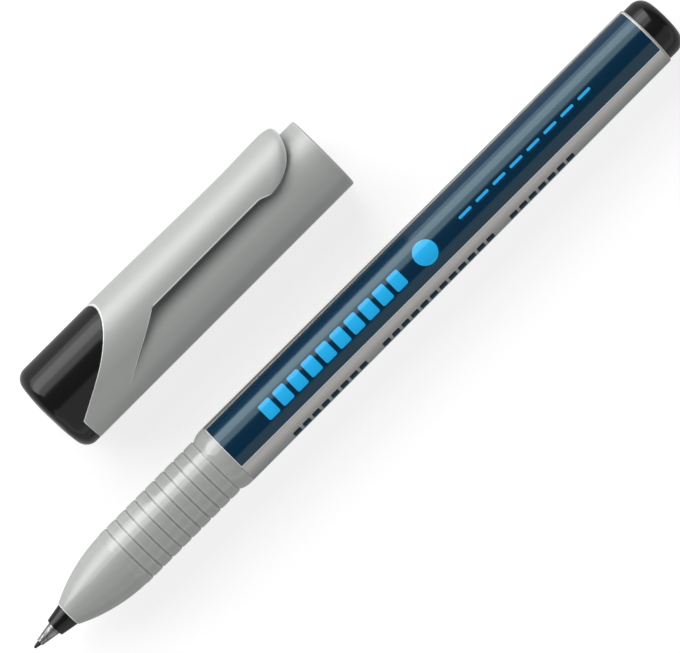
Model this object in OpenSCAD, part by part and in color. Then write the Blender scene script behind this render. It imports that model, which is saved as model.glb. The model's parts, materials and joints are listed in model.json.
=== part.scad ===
// Non-permanent fine marker with its cap taken off and laid beside it.
// The pen lies along X with its point towards -X; the cap lies parallel to it on the +Y side.
// Along the pen, p is the distance from the tip. Along the cap, c is the distance from its
// closed end and h is the height above the cap's axis, towards the clip.

/* [Point] */
// Length of fibre point that shows in front of the metal sleeve
point_len = 1.1; // [0.6:0.1:2]
// Diameter of the fibre at the very tip
point_tip_d = 0.45; // [0.3:0.05:0.6]
// Diameter of the fibre rod inside the metal sleeve
rod_d = 0.8; // [0.6:0.05:1]
// Diameter of the wick behind the sleeve
wick_d = 1.4; // [1:0.1:1.5]
// Depth that the wick reaches into the ink reservoir
wick_depth = 8; // [4:1:14]

/* [Metal sleeve] */
// Wall of the sleeve's thin front tube
sleeve_wall = 0.12; // [0.08:0.01:0.2]
// Length of the thin front tube
sleeve_tube_len = 1.5; // [1:0.1:2.5]
// Growth in diameter along the thin tube
sleeve_draft = 0.14; // [0:0.02:0.3]
// Length of the flare behind the tube
flare_len = 1.05; // [0.6:0.05:1.5]
// Diameter of the flare's rim
flare_d = 2.1; // [2:0.05:2.4]
// Length of the rim that seats on the nib holder
rim_len = 0.45; // [0.3:0.05:0.8]
// Diameter of the shank pressed into the holder
shank_d = 1.8; // [1.7:0.05:1.9]
// Length of that shank
shank_len = 5; // [3:0.5:6]

/* [Nib holder] */
// Front diameter of the holder's cone
holder_front_d = 2.9; // [2.6:0.1:3.2]
// Rear diameter of the cone, at the nose
holder_d = 3.9; // [3.6:0.1:4.1]
// Length of the cone that shows
holder_len = 2.75; // [2:0.25:4]
// Diameter of the stem pressed into the nose
stem_d = 2.8; // [2.6:0.1:3]
// Length of that stem
stem_len = 9; // [7:0.5:10]

/* [Nose and grip] */
// Front diameter of the nose
nose_front_d = 4.1; // [4:0.1:4.6]
// Rear diameter of the nose, where the grip starts
nose_rear_d = 9.6; // [9:0.1:9.7]
// Length of the nose
nose_len = 10.85; // [9:0.25:14]
// Radius of the nose's arched side
nose_arc_r = 26; // [22:1:40]
// Diameter over the grip rings
grip_d = 9.8; // [9.7:0.05:10]
// Length of the plain land before the first groove
first_land = 1.6; // [1:0.1:3]
// Distance from groove to groove
ring_pitch = 1.937; // [1.5:0.05:3]
// Number of grooves
groove_count = 10; // [4:1:12]
// Depth of a groove
groove_depth = 0.2; // [0.1:0.02:0.3]
// Width of a groove
groove_w = 0.26; // [0.15:0.02:0.5]
// Rise of each ring's crown
ring_crown = 0.06; // [0.02:0.01:0.12]

/* [Barrel] */
// Length of the rounded collar behind the grip
collar_len = 1.8; // [1:0.1:3]
// Length of the bare land between collar and label
collar_land = 0.6; // [0.3:0.1:2]
// Largest diameter, at the collar
barrel_front_d = 10.4; // [10.2:0.05:10.5]
// Diameter at the rear edge
barrel_rear_d = 10; // [9.6:0.05:10.4]
// Length from the label's front edge to the rear edge
barrel_len = 84.3; // [70:1:100]
// Rounding of the rear edge
rear_round = 0.3; // [0.1:0.05:0.5]
// Bore of the chamber that holds the reservoir
chamber_d = 7.1; // [6.6:0.1:7.4]
// Bore of the barrel behind the chamber
bore_d = 8; // [7.8:0.1:8.4]
// Distance from the grip's start to the chamber's front wall
chamber_step = 1.8; // [1:0.1:4]
// Length of the chamber from its front wall to the wider bore
chamber_len = 22; // [16:1:30]
// Number of ribs that centre the reservoir in the bore
rib_count = 6; // [3:1:8]
// Thickness of a rib
rib_w = 0.8; // [0.5:0.1:1.2]

/* [Label] */
// Thickness of the printed film
label_t = 0.1; // [0.08:0.01:0.15]
// Bare land between the label and the rear edge
label_land = 0.5; // [0.4:0.1:2]

/* [Reservoir] */
// Thickness of the film round the ink core
film_t = 0.12; // [0.08:0.02:0.25]

/* [End plug] */
// Length of the plug's head behind the barrel
head_len = 3.7; // [3:0.1:6]
// Diameter of the head
head_d = 9.5; // [9:0.1:9.6]
// Rounding of the head's edge
head_round = 2.1; // [1:0.1:2.5]
// Radius of the head's crowned end
head_dome_r = 24; // [15:1:60]
// Length of the spigot inside the barrel
spigot_len = 11; // [8:0.5:14]
// Wall of the spigot
spigot_wall = 0.9; // [0.7:0.1:1.2]
// Length of the slots that make the spigot's fingers
finger_len = 6; // [3:0.5:7]
// Width of those slots
finger_gap = 1.4; // [0.8:0.1:2]

/* [Cap] */
// Length of the cap
cap_len = 54.3; // [52:0.1:60]
// Diameter of the cap's tube
cap_d = 12.4; // [12.2:0.1:13]
// Bore that slides over the grip
cap_bore_d = 10.6; // [10.55:0.05:10.8]
// Bore of the deep end that holds the seal and the insert
cap_inner_d = 10.2; // [10.1:0.05:10.3]
// Rounding of the mouth's outer edge
mouth_round = 0.35; // [0.2:0.05:0.4]
// Lead-in inside the mouth
mouth_lead = 0.3; // [0.1:0.05:0.4]
// Distance from the tube's centre to the centre of the clip side's arc
clip_offset = 2.45; // [2.2:0.05:3]
// Height by which the raised band stands off the tube at its sides
band_proud = 0.04; // [0.02:0.01:0.1]
// Slope of the band's two edges against the axis
band_angle = 31.2; // [28:0.2:35]
// Place on the axis where the band's rear edge starts
band_start = 13; // [12:0.25:15]

/* [Clip] */
// Thickness of the clip
clip_t = 1; // [0.8:0.05:1.2]
// Height of the clip's straight edges above the cap's axis
clip_edge_h = 5.2; // [5:0.1:5.6]
// Place where the clip leaves its root and starts to bend
clip_root_c = 26.2; // [26.2:0.2:30]
// Place where the straight edges end
clip_straight_c = 42.7; // [38:0.1:44]
// Place of the widest part of the clip's end
clip_wide_c = 45.1; // [45:0.1:47]
// Drop of the edge at the widest part
clip_wide_drop = 0.6; // [0.3:0.05:0.8]
// Radius of the clip's rounded end, seen from the side
clip_end_r = 7.4; // [6.5:0.1:8]
// Radius of the bead inside the clip's end
bead_r = 0.9; // [0.6:0.05:0.95]
// Length of the bead across the clip
bead_w = 3.4; // [2:0.2:3.6]
// Gap between the bead and the tube
bead_gap = 0.3; // [0.2:0.05:0.5]

/* [End insert] */
// Place of the seam round the closed end
seam_c = 3.2; // [3:0.1:4]
// Height at which the seam turns up towards the clip
seam_h = 0.25; // [0:0.05:1]
// Straight length of the sloping seam
tongue_straight = 9.7; // [8:0.1:11]
// Radius of the seam's rise at the tongue's end
tongue_arc_r = 14; // [10:0.5:20]
// Rounding of the closed end's edge
end_round = 2; // [1:0.1:2.5]
// Radius of the crowned end face
end_dome_r = 27; // [20:1:60]
// Wall behind the end face
end_wall = 1.6; // [1.2:0.1:2]
// Length of the insert's spigot behind the seam
insert_spigot = 5.5; // [4:0.25:8]
// Wall of that spigot
insert_wall = 1; // [0.8:0.1:1.4]

/* [Inner cap] */
// Radius at which the inner cap seals on the nose
seal_r = 3.7; // [3.2:0.1:4]
// Length of the sealing cone in front of and behind that circle
seal_half = 1.6; // [1:0.1:2]
// Wall of the inner cap
inner_wall = 0.6; // [0.4:0.05:0.7]
// Length of the flange held in the cap's deep end
flange_len = 1.5; // [1:0.1:3]

/* [Clearances] */
// Radial clearance of pressed and snapped joints
press_gap = 0.03; // [0.01:0.01:0.05]
// Clearance where one piece lies loose in another
loose_gap = 0.05; // [0.03:0.01:0.1]
// Gap at the ends of the reservoir
end_gap = 0.3; // [0.1:0.05:0.6]
// Gap at the seam between insert and cap
seam_gap = 0.05; // [0.02:0.01:0.1]
// Gap at the clip's root
root_gap = 0.06; // [0.03:0.01:0.1]
// Gap between the centring ribs and the reservoir's own circle
rib_gap = 0.1; // [0.05:0.01:0.2]

/* [Place] */
// Distance between the axes of pen and cap
cap_beside = 20.8; // [16:0.1:40]
// Distance of the cap's closed end behind the pen's tip
cap_shift = 24.9; // [0:0.1:60]
// Angle of the clip above the level, away from the pen
clip_roll = 30; // [0:1:90]

/* [Hidden] */
$fn = 96;
over = 0.5;
// Overlap of two arcs that run into each other
arc_overlap = 0.01;

// Places along the pen
p_sleeve = point_len;
p_flare = p_sleeve + sleeve_tube_len;
p_rim = p_flare + flare_len;
p_holder = p_rim + rim_len;
p_nose = p_holder + holder_len;
p_grip = p_nose + nose_len;
p_groove = p_grip + first_land;
p_collar = p_groove + ring_pitch * (groove_count - 1) + groove_w / 2;
p_land = p_collar + collar_len;
p_label = p_land + collar_land;
p_rear = p_label + barrel_len;
pen_len = p_rear + head_len;
p_chamber = p_grip + chamber_step;
p_bore = p_chamber + chamber_len;
p_core = p_chamber + end_gap;
p_spigot = p_rear - spigot_len;
p_core_end = p_spigot - end_gap;
p_shank_end = p_holder + shank_len;
p_wick = p_holder;
p_wick_end = p_core + wick_depth;

// Radii of the pen
rod_r = rod_d / 2;
wick_r = wick_d / 2;
tube_r = rod_r + loose_gap + sleeve_wall;
tube_rear_r = tube_r + sleeve_draft / 2;
stem_r = stem_d / 2;
stem_bore_r = stem_r + press_gap;
nose_r = nose_front_d / 2;
nose_rear_r = nose_rear_d / 2;
grip_r = grip_d / 2;
front_r = barrel_front_d / 2;
rear_r = barrel_rear_d / 2;
chamber_r = chamber_d / 2;
bore_r = bore_d / 2;
film_r = chamber_r - loose_gap;
core_r = film_r - film_t;
core_socket_r = wick_r + loose_gap;
spigot_r = bore_r - press_gap;
collar_drop = front_r - (grip_r - groove_depth);
collar_arc_r = (collar_len ^ 2 + collar_drop ^ 2) / (2 * collar_drop);
rib_r = chamber_r + rib_gap;
rib_embed = 0.3;

// Places and radii of the cap
cap_r = cap_d / 2;
cap_bore_r = cap_bore_d / 2;
cap_inner_r = cap_inner_d / 2;
band_r = cap_r + band_proud;
clip_inner_r = band_r - clip_t;
cap_top_h = clip_offset + band_r;
tip_room = cap_len - p_label;
nose_centre = arc_centre([nose_r, p_nose], [nose_rear_r, p_grip], nose_arc_r);
seal_p = nose_centre[1] - sqrt(nose_arc_r ^ 2 - (seal_r - nose_centre[0]) ^ 2);
seal_c = seal_p + tip_room;
seal_slope = (nose_centre[1] - seal_p) / (seal_r - nose_centre[0]);
inner_mouth_c = seal_c + seal_half;
inner_mouth_r = seal_r + seal_half * seal_slope;
inner_room_r = seal_r - seal_half * seal_slope;
inner_cup_r = inner_mouth_r + inner_wall;
insert_end_c = seam_c + insert_spigot;
flange_c = insert_end_c + seam_gap;
cap_step_c = inner_mouth_c + 2 * inner_wall;
root_c = clip_root_c - root_gap;
side_reach = cap_len;

// Places in the lying pose: the box of pen and cap is centred on the origin and stands on z = 0
tip_x = -pen_len / 2;
pen_reach_y = front_r;
cap_reach_y = clip_offset * cos(clip_roll) + band_r;
pen_y = -(cap_beside + cap_reach_y - pen_reach_y) / 2;
cap_y = pen_y + cap_beside;

grey = [0.63, 0.65, 0.64];
black = [0.1, 0.1, 0.11];

// Centre of the arc of radius r that bulges outwards from point a to point b, as [radius, place]
function arc_centre(a, b, r) =
    let (d = b - a, n = norm(d), m = (a + b) / 2)
    m + sqrt(r ^ 2 - n ^ 2 / 4) * [-d[1], d[0]] / n;

// Radius of the barrel's drafted outside at place p
function barrel_r(p) = front_r + (rear_r - front_r) * (p - p_land) / (p_rear - p_land);

module on_pen() translate([tip_x, pen_y, front_r]) rotate([0, 90, 0]) children();

module on_cap()
    translate([tip_x + cap_shift, cap_y, cap_r]) rotate([90 + clip_roll, 0, 0]) rotate([0, 90, 0]) children();

// Turns a half section, drawn as radius and place, about the axis
module turned() rotate_extrude() children();

// A plain length of half section, from place a to place b
module stretch(r, a, b) translate([0, a]) square([r, b - a]);

// Half section of a crowned end with a rounded edge, closed at place 0
module domed_section(r, edge, dome, length) {
    edge_place = dome - sqrt((dome - edge + arc_overlap) ^ 2 - (r - edge) ^ 2);
    touch_r = (r - edge) * dome / (dome - edge);
    intersection() {
        translate([0, dome]) circle(dome);
        square([touch_r, length]);
    }
    intersection() {
        translate([r - edge, edge_place]) circle(edge);
        translate([r - edge, 0]) square([edge, edge_place]);
    }
    stretch(r, edge_place, length);
}

// Sweeps a half section round an oblong: two round ends joined by straight sides
module oblong(offset) {
    rotate(90) rotate_extrude(angle = 180) children();
    translate([offset, 0, 0]) rotate(-90) rotate_extrude(angle = 180) children();
    rotate([90, 0, 90]) linear_extrude(offset) {
        children();
        mirror([1, 0]) children();
    }
}

// Extrudes a side view of the cap, drawn as place c and height h, right across it
module across(width) rotate([0, -90, -90]) linear_extrude(width, center = true) children();

module nose_section() intersection() {
    stretch(nose_rear_r, p_nose, p_grip);
    translate(nose_centre) circle(nose_arc_r);
}

// One crowned ring between places a and b
module ring_section(a, b) {
    half = (b - a) / 2;
    crown_r = (half ^ 2 + ring_crown ^ 2) / (2 * ring_crown);
    depth = 2 * groove_depth;
    translate([grip_r - crown_r, a + half]) intersection() {
        circle(crown_r);
        translate([crown_r - depth, -half]) square([depth, 2 * half]);
    }
}

module grip_section() {
    stretch(grip_r - groove_depth, p_grip, p_collar);
    ring_section(p_grip, p_groove - groove_w / 2);
    for (k = [1 : groove_count - 1])
        ring_section(p_groove + (k - 1) * ring_pitch + groove_w / 2, p_groove + k * ring_pitch - groove_w / 2);
}

module collar_section() intersection() {
    stretch(front_r, p_collar, p_land);
    translate([front_r - collar_arc_r, p_land]) circle(collar_arc_r);
}

// The drafted tube with a shallow recess that takes the label
module tube_section() difference() {
    union() {
        polygon([[0, p_land], [front_r, p_land], [rear_r, p_rear - rear_round], [0, p_rear - rear_round]]);
        stretch(rear_r - rear_round, p_rear - rear_round, p_rear);
        translate([rear_r - rear_round, p_rear - rear_round]) intersection() {
            circle(rear_round);
            square(rear_round);
        }
    }
    label_section(loose_gap / 2, 1);
}

// Section of the label; widened all round by gap and outwards by open
module label_section(gap, open) {
    a = p_label - gap;
    b = p_rear - label_land + gap;
    deep = label_t + gap;
    polygon([[barrel_r(a) - deep, a], [barrel_r(a) + open, a],
             [barrel_r(b) + open, b], [barrel_r(b) - deep, b]]);
}

module cavity_section() {
    stretch(stem_bore_r, p_nose, p_chamber);
    stretch(chamber_r, p_chamber, p_bore);
    stretch(bore_r, p_bore, p_rear);
}

module barrel() color(grey) on_pen() {
    turned() difference() {
        union() {
            nose_section();
            grip_section();
            collar_section();
            tube_section();
        }
        cavity_section();
    }
    for (k = [0 : rib_count - 1])
        rotate(k * 360 / rib_count) translate([rib_r, -rib_w / 2, p_bore - rib_embed])
            cube([bore_r - rib_r + rib_embed, rib_w, p_core_end - p_bore + rib_embed]);
}

module label_sleeve() color([0.02, 0.15, 0.25]) on_pen() turned() label_section(0, 0);

module nib_holder() color(black) on_pen() turned() difference() {
    union() {
        polygon([[0, p_holder], [holder_front_d / 2, p_holder], [holder_d / 2, p_nose], [0, p_nose]]);
        stretch(stem_r, p_nose, p_nose + stem_len);
    }
    stretch(shank_d / 2 + press_gap, p_holder, p_shank_end + end_gap);
    stretch(wick_r + loose_gap, p_holder, p_nose + stem_len);
}

module nib_sleeve() color([0.75, 0.76, 0.76]) on_pen() turned() difference() {
    union() {
        polygon([[0, p_sleeve], [tube_r, p_sleeve], [tube_rear_r, p_flare], [flare_d / 2, p_rim],
                 [flare_d / 2, p_holder], [0, p_holder]]);
        stretch(shank_d / 2, p_holder, p_shank_end);
    }
    stretch(rod_r + loose_gap, p_sleeve, p_holder);
    stretch(wick_r + loose_gap, p_wick - loose_gap, p_shank_end);
}

module fibre_nib() color([0.07, 0.07, 0.08]) on_pen() turned() {
    round_r = point_tip_d / 2;
    polygon([[0, round_r], [round_r, round_r], [rod_r, p_sleeve], [0, p_sleeve]]);
    translate([0, round_r]) intersection() {
        circle(round_r);
        translate([0, -round_r]) square(round_r);
    }
    stretch(rod_r, p_sleeve, p_wick);
    stretch(wick_r, p_wick, p_wick_end);
}

module ink_reservoir() color([0.2, 0.2, 0.24]) on_pen() turned() difference() {
    stretch(core_r, p_core, p_core_end);
    stretch(core_socket_r, p_core, p_wick_end + loose_gap);
}

module reservoir_film() color([0.85, 0.85, 0.82]) on_pen() turned() difference() {
    stretch(film_r, p_core, p_core_end);
    stretch(core_r, p_core, p_core_end);
}

module end_plug() color(black) on_pen() difference() {
    turned() difference() {
        union() {
            translate([0, pen_len]) mirror([0, 1]) domed_section(head_d / 2, head_round, head_dome_r, head_len);
            stretch(spigot_r, p_spigot, p_rear);
        }
        stretch(spigot_r - spigot_wall, p_spigot, p_rear);
    }
    for (turn = [0, 90])
        rotate(turn) translate([-bore_r, -finger_gap / 2, p_spigot - over])
            cube([2 * bore_r, finger_gap, finger_len + over]);
}

// Side view of the band: everything in front of its sloping rear edge
module band_side()
    polygon([[seam_c, 0], [band_start, 0], [root_c, (root_c - band_start) * tan(band_angle)],
             [root_c, side_reach], [seam_c, side_reach]]);

// Side view of the clip's root, which grows out of the band
module root_side() translate([band_start, clip_edge_h]) square([root_c - band_start, side_reach]);

// Side view of the insert: the closed end and the tongue that slopes up towards the clip
module insert_side(gap) {
    corner = [seam_c, seam_h];
    rise = corner + tongue_straight * [cos(band_angle), sin(band_angle)];
    centre = rise + (tongue_arc_r - arc_overlap) * [-sin(band_angle), cos(band_angle)];
    translate([-gap, 0]) {
        polygon([[-over, -side_reach], [seam_c, -side_reach], corner, rise, centre, [-over, centre[1]]]);
        translate(centre) circle(tongue_arc_r);
    }
}

// Side view of the clip: straight edge, slight widening and rounded end
module clip_side() {
    wide_h = clip_edge_h - clip_wide_drop;
    polygon([[clip_root_c, clip_edge_h], [clip_straight_c, clip_edge_h], [clip_wide_c, wide_h],
             [clip_wide_c, wide_h + clip_end_r], [clip_root_c, wide_h + clip_end_r]]);
    intersection() {
        translate([clip_wide_c, wide_h + clip_end_r]) circle(clip_end_r);
        translate([clip_wide_c, wide_h]) square(clip_end_r);
    }
}

module cap_tube() turned() {
    stretch(cap_r, seam_c, cap_len - mouth_round);
    stretch(cap_r - mouth_round, seam_c, cap_len);
    translate([cap_r - mouth_round, cap_len - mouth_round]) circle(mouth_round);
}

module clip_core() translate([clip_offset, 0, 0]) cylinder(r = clip_inner_r, h = cap_len);

module raised_band() {
    intersection() {
        oblong(clip_offset) square([band_r, cap_len]);
        across(4 * cap_r) band_side();
    }
    difference() {
        intersection() {
            oblong(clip_offset) square([band_r, cap_len]);
            across(4 * cap_r) root_side();
        }
        clip_core();
    }
}

module cap_shell() color(grey) on_cap() difference() {
    union() {
        cap_tube();
        raised_band();
    }
    turned() {
        stretch(cap_inner_r, 0, cap_step_c);
        stretch(cap_bore_r, cap_step_c, cap_len + over);
        polygon([[0, cap_len - mouth_lead], [cap_bore_r, cap_len - mouth_lead],
                 [cap_bore_r + mouth_lead, cap_len], [0, cap_len]]);
    }
    across(4 * cap_r) insert_side(0);
}

module clip() color(grey) on_cap() {
    bead_h = cap_r + bead_gap + bead_r;
    bead_c = clip_wide_c + clip_wide_drop;
    difference() {
        intersection() {
            oblong(clip_offset) square([band_r, cap_len]);
            across(4 * cap_r) clip_side();
        }
        clip_core();
    }
    translate([bead_h, 0, bead_c]) rotate([90, 0, 0]) cylinder(r = bead_r, h = bead_w, center = true);
}

module cap_end_insert() color(black) on_cap() {
    difference() {
        union() {
            intersection() {
                oblong(clip_offset) domed_section(cap_r, end_round, end_dome_r, cap_len / 2);
                across(4 * cap_r) insert_side(seam_gap);
            }
            turned() stretch(cap_inner_r - press_gap, end_wall, insert_end_c);
        }
        turned() {
            stretch(cap_inner_r - press_gap - insert_wall, end_wall, insert_end_c);
            stretch(cap_inner_r, insert_end_c, cap_len);
        }
    }
}

module inner_cap() color([0.9, 0.9, 0.87]) on_cap() turned() difference() {
    union() {
        stretch(cap_inner_r - press_gap, flange_c, flange_c + flange_len);
        stretch(inner_cup_r, flange_c, inner_mouth_c);
    }
    stretch(inner_room_r, flange_c + inner_wall, seal_c - seal_half);
    polygon([[0, seal_c - seal_half], [inner_room_r, seal_c - seal_half],
             [inner_mouth_r, inner_mouth_c], [0, inner_mouth_c]]);
}

barrel();
label_sleeve();
nib_holder();
nib_sleeve();
fibre_nib();
ink_reservoir();
reservoir_film();
end_plug();
cap_shell();
clip();
cap_end_insert();
inner_cap();
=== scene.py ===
"""Looks of a fine fibre-tip marker and its cap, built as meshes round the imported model."""
import json
import math

import bmesh
import bpy
import numpy as np
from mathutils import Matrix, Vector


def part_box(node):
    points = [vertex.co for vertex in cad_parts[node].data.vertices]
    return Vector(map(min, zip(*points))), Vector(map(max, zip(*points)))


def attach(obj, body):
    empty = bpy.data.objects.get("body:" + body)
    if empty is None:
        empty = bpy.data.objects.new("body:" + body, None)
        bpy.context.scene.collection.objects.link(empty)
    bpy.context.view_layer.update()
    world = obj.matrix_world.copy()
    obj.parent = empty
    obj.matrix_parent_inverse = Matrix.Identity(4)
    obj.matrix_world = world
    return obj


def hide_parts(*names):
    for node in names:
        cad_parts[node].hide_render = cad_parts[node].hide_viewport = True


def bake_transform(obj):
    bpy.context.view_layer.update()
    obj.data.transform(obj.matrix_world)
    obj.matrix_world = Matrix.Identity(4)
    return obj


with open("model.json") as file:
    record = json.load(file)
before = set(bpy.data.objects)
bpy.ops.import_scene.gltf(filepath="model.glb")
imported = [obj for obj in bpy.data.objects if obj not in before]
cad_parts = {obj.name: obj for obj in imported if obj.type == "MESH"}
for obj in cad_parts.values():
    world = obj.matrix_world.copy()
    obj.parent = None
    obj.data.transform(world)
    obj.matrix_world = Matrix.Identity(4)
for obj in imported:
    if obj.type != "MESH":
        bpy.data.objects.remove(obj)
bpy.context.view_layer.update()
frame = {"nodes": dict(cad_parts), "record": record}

MM = 0.001  # in metres
WELD = 1e-7  # points that are closer than this, in metres, become one
TURN_STEPS = 192  # points round a turned piece
ROUND_STEPS = 4  # segments of a rounded corner
SHARP = math.radians(42)  # steeper edges stay sharp
RIM_HIGHLIGHT = "rim"  # mesh attribute that holds the share of painted highlight on the rims
ALONG = np.array([1.0, 0.0, 0.0])
ANGLES = np.linspace(0, 2 * np.pi, TURN_STEPS, endpoint=False)


# Lines that the pieces are built round

class Line:
    """A line along +X. Places along it and offsets from it are in millimetres."""

    def __init__(self, start, up, side):
        self.start = np.array(start, float)
        self.up = np.array(up, float)
        self.side = np.array(side, float)

    def points(self, place, up, side):
        """Points in metres at places along the line and offsets up and to its side."""
        place, up, side = (v[..., None] for v in np.broadcast_arrays(place, up, side))
        return self.start + MM * (place * ALONG + up * self.up + side * self.side)

    def span(self, node):
        """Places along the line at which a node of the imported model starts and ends."""
        low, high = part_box(node)
        return (low[0] - self.start[0]) / MM, (high[0] - self.start[0]) / MM


def middle(node):
    """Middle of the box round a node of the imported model."""
    low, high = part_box(node)
    return (low + high) / 2


record = frame["record"]
mouth = next(m for m in record["mounts"] if m["name"] == "cap_mouth")
flex = next(j for j in record["behaviour"]["joints"] if j["name"] == "clip_flex")
hinge_axis = np.array(flex["axis"])
pen_middle = middle("barrel")
PEN = Line((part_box("fibre_nib")[0].x, pen_middle.y, pen_middle.z), (0, 0, 1), (0, 1, 0))
CAP = Line((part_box("cap_end_insert")[0].x, mouth["pos_m"][1], mouth["pos_m"][2]),
           np.cross(hinge_axis, ALONG), hinge_axis)


# Sizes in millimetres. A name that ends in _p or _P is a place along the pen from its point,
# one that ends in _c or _C a place along the cap from its closed end, and _H a height above
# the cap's axis.

NOSE_FRONT_R, NOSE_REAR_R, NOSE_LEN, NOSE_ARC_R = 2.05, 4.8, 10.85, 26.0
GRIP_R, FIRST_LAND, RING_PITCH, GROOVES = 4.9, 1.6, 1.937, 10
GROOVE_W, GROOVE_DEPTH, RING_CROWN, RING_EDGE = 0.15, 0.2, 0.04, 50
COLLAR_LEN = 1.8
BARREL_R, REAR_R, REAR_ROUND = 5.2, 5.0, 0.15
LABEL_T, FILM_GAP, LABEL_REACH, FILM_ROUND = 0.1, 0.025, 0.2, 0.03
STEM_BORE_R, CHAMBER_R, BORE_R = 1.43, 3.55, 4.0
CHAMBER_STEP, CHAMBER_LEN = 1.8, 22.0
RIBS, RIB_R, RIB_W = 6, 3.65, 0.8
SHANK_R, WICK_BORE_R = 0.9, 0.75

nose_p, rear_p = PEN.span("barrel")
grip_p = nose_p + NOSE_LEN
groove_p = grip_p + FIRST_LAND
collar_p = groove_p + RING_PITCH * (GROOVES - 1) + GROOVE_W / 2
land_p = collar_p + COLLAR_LEN
label_p, label_end_p = PEN.span("label_sleeve")
label_end_p += LABEL_REACH
core_end_p = PEN.span("ink_reservoir")[1]
chamber_p = grip_p + CHAMBER_STEP
bore_p = chamber_p + CHAMBER_LEN
holder_p, stem_end_p = PEN.span("nib_holder")
sleeve_p, shank_end_p = PEN.span("nib_sleeve")

CAP_R, CAP_BORE_R, CAP_INNER_R = 6.2, 5.3, 5.1
MOUTH_ROUND, MOUTH_LEAD = 0.3, 0.3
SEAM_H, SEAM_GAP, SEAM_SLOPE, SEAM_TURN = 0.74, 0.05, math.radians(30.3), math.radians(7)
TONGUE_STRAIGHT, TONGUE_ARC_R = 7.85, 55.0
TUCK, TUCK_LOW_H, TUCK_HIGH_H = 0.3, 0.3, 1.3
BAND_R, BAND_DEEP_R, BAND_LOW_H = 6.24, 5.65, -1.9
BAND_START_C, BAND_SLOPE = 13.5, math.radians(31.2)
BAND_STEP, BAND_SINK, BAND_FADE = 0.09, 0.05, 1.8
CLIP_OFFSET, CLIP_T, CLIP_END_R = 2.45, 1.0, 7.4
EDGE_H, WIDE_DROP, STRAIGHT_C, WIDE_C = 4.9, 0.6, 42.7, 44.8
DIP, FLARE, DIP_C, FLARE_C, FLARE_END_C = 0.34, 0.16, 16, 41, 50
BEAD_C, BEAD_HALF, BEAD_DEPTH, BEAD_W, BEAD_SIDE = 45.7, 1.1, 0.95, 2.2, 0.8
# RIM_PALE and RIM_FADE give the width and the fade of the painted highlight along the rims
RIM_ROUND, RIM_EASE, RIM_PALE, RIM_FADE = 0.12, 0.3, 0.2, 0.03
END_ROLL, ROLL_SHARE = 0.65, 0.25
BEND_START_C, BEND_END_C = 23.0, 31.0

seam_c, cap_len = CAP.span("cap_shell")
flange_c, inner_mouth_c = CAP.span("inner_cap")
cap_step_c = cap_len - (mouth["dims"]["length_mm"] + MOUTH_LEAD)
quarter_arc = BAND_R * np.pi / 2


# Shared shapes

def smooth(value, low, high):
    """0 at low and 1 at high, with an even start and end."""
    t = np.clip((np.asarray(value, float) - low) / (high - low), 0, 1)
    return t * t * (3 - 2 * t)


def rounded(corners, closed=True):
    """An outline through (place, radius, rounding) corners, with each rounding drawn as an arc."""
    outline = []
    for k, (place, radius, soft) in enumerate(corners):
        here = np.array((place, radius), float)
        at_end = not closed and k in (0, len(corners) - 1)
        if soft == 0 or at_end:
            outline.append(here)
            continue
        back = np.array(corners[k - 1][:2]) - here
        ahead = np.array(corners[(k + 1) % len(corners)][:2]) - here
        back, ahead = back / np.linalg.norm(back), ahead / np.linalg.norm(ahead)
        half = math.acos(np.clip(back @ ahead, -1, 1)) / 2
        bisector = (back + ahead) / np.linalg.norm(back + ahead)
        centre = here + bisector * soft / math.sin(half)
        first = here + back * soft / math.tan(half) - centre
        last = here + ahead * soft / math.tan(half) - centre
        turn = math.pi - 2 * half
        for t in np.linspace(0, 1, ROUND_STEPS + 1):
            spoke = math.sin((1 - t) * turn) * first + math.sin(t * turn) * last
            outline.append(centre + spoke / math.sin(turn))
    return np.array(outline)


def plain(points):
    """Corners with no rounding, from places and radii."""
    return [(place, radius, 0) for place, radius in points]


def arc_through(start, end, radius, steps):
    """Points of the arc of a radius that bulges outwards from start to end, both left out."""
    start, end = np.array(start, float), np.array(end, float)
    chord = end - start
    length = np.linalg.norm(chord)
    inwards = np.array((chord[1], -chord[0])) / length
    centre = (start + end) / 2 + inwards * math.sqrt(radius ** 2 - length ** 2 / 4)
    angles = [math.atan2(*(p - centre)[::-1]) for p in (start, end)]
    inner = np.linspace(*angles, steps + 1)[1:-1]
    return [(centre[0] + radius * math.cos(a), centre[1] + radius * math.sin(a)) for a in inner]


def crowned_end(radius, edge, dome, steps):
    """(depth, radius) points of a crowned end with a rounded edge, from its middle outwards."""
    touch = (radius - edge) * dome / (dome - edge)
    edge_depth = dome - math.sqrt((dome - edge) ** 2 - (radius - edge) ** 2)
    crown = [(dome - math.sqrt(dome ** 2 - r ** 2), r) for r in np.linspace(0, touch, steps)]
    start = math.atan2(touch - (radius - edge), edge_depth - crown[-1][0])
    turn = np.linspace(start, math.pi / 2, steps)[1:]
    return crown + [(edge_depth - edge * math.cos(a), radius - edge + edge * math.sin(a)) for a in turn]


def spread(outline):
    """An outline repeated for every angle, as places and radii that may then differ by angle."""
    outline = np.asarray(outline, float)
    return tuple(np.repeat(outline[:, k:k + 1], TURN_STEPS, axis=1) for k in (0, 1))


def turned(line, place, radius):
    """Points round a line, from a place and a radius for every angle."""
    return line.points(place, radius * np.cos(ANGLES), radius * np.sin(ANGLES))


def ring_faces(rows, columns, closed):
    """Quads between neighbouring rings; closed joins the last ring to the first."""
    faces = []
    for row in range(rows if closed else rows - 1):
        here, there = row * columns, (row + 1) % rows * columns
        for k in range(columns):
            after = (k + 1) % columns
            faces.append((here + k, here + after, there + after, there + k))
    return faces


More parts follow.
